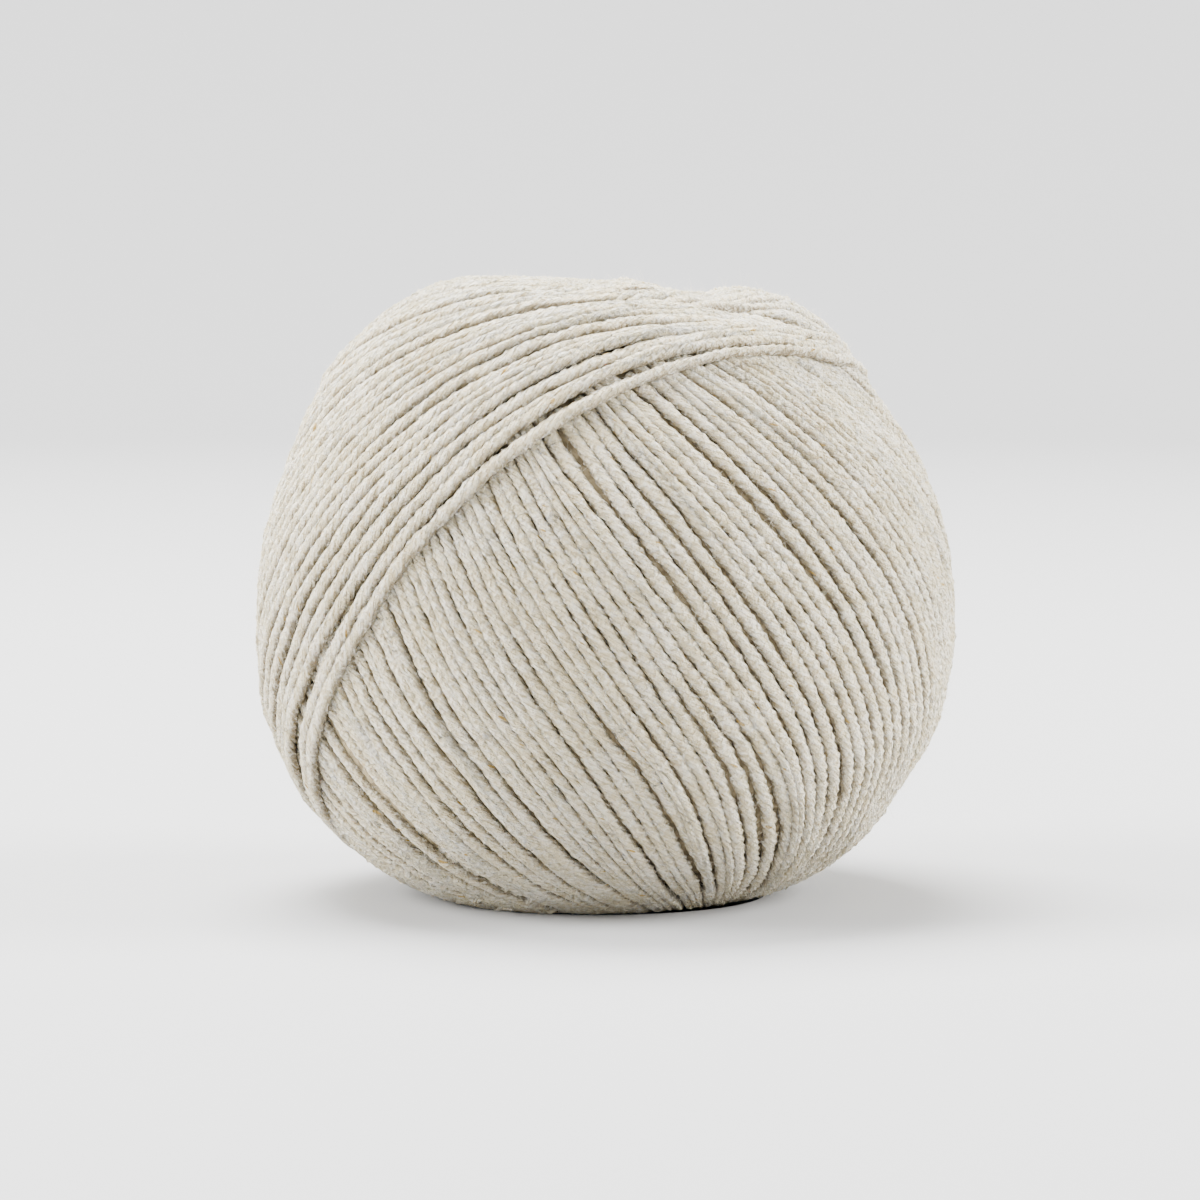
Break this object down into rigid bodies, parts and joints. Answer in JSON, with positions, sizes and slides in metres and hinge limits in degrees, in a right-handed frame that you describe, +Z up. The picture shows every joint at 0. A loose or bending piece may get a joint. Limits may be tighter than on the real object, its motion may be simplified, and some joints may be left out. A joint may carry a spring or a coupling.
{
  "type": "ball of yarn",
  "caption": "Machine-wound ball of plied yarn, with crossing runs of turns, a hollow top and a flat spot to rest on.",
  "frame": {"origin": "middle of the flat spot that the ball rests on", "axes": "+Z up, out through the hollow top; -Y towards the side where the newest turn crosses in front; +X to the right of that side"},
  "size_m": [0.0863, 0.0839, 0.0757],
  "materials": {
    "yarn": "matt, natural undyed plied yarn with a light fuzz"
  },
  "bodies": {
    "root": {"wound_ball": "yarn"}
  },
  "joints": []
}
